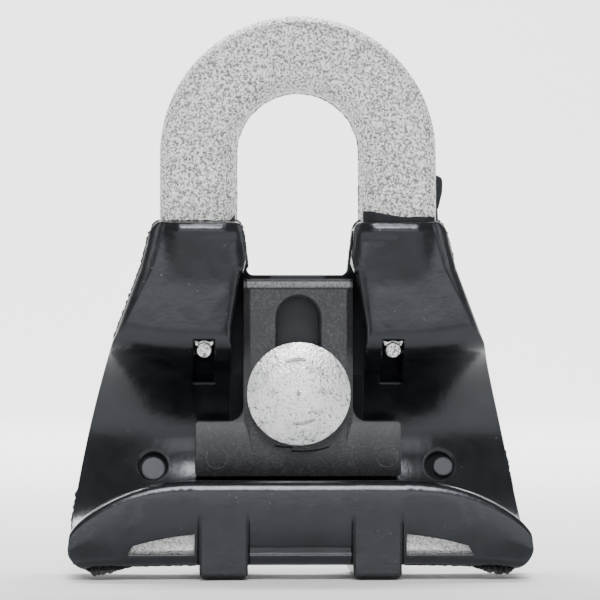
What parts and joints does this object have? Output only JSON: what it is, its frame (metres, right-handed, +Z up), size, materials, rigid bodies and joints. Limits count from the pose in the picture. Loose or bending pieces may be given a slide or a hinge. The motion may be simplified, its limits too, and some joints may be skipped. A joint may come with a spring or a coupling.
{
  "type": "suspension clamp",
  "caption": "Overhead line suspension clamp: cast eye loop in a rubber-coated, bell-mouthed saddle, with a slotted T-shaped pressure jaw held by a round-head bolt.",
  "frame": {"origin": "hook seat: the highest point of the eye's inner edge, in the middle of the loop's thickness", "axes": "+X along the conductor, to the right as seen from the front; +Y to the back, where the nut is; +Z up, towards the hook"},
  "size_m": [0.092, 0.0646, 0.1123],
  "materials": {
    "cast_aluminium": "rough cast",
    "black_rubber": "satin",
    "glass_filled_plastic": "matt with fine grain",
    "zinc_plated_steel": "bright zinc plating"
  },
  "bodies": {
    "frame": {"shackle_core": "cast_aluminium", "rubber_coat": "black_rubber", "flat_washer": "zinc_plated_steel", "spring_washer": "zinc_plated_steel"},
    "nut": {"hex_nut": "zinc_plated_steel"},
    "bolt": {"carriage_bolt": "zinc_plated_steel"},
    "jaw": {"pressure_jaw": "glass_filled_plastic"}
  },
  "joints": [
    {"name": "nut_turn", "type": "hinge", "parent": "frame", "child": "nut", "pos_m": [0, 0.02045, -0.0604], "axis": [0, 1, 0], "range_deg": [0, 6050]},
    {"name": "bolt_draw", "type": "slide", "parent": "frame", "child": "bolt", "axis": [0, -1, 0], "range_m": [0, 0.021]},
    {"name": "jaw_slide", "type": "slide", "parent": "bolt", "child": "jaw", "axis": [0, 0, 1], "range_m": [0, 0.0015]}
  ],
  "couplings": [
    {"joint": "nut_turn", "follows": "bolt_draw", "rad_per_m": 5026.5}
  ]
}
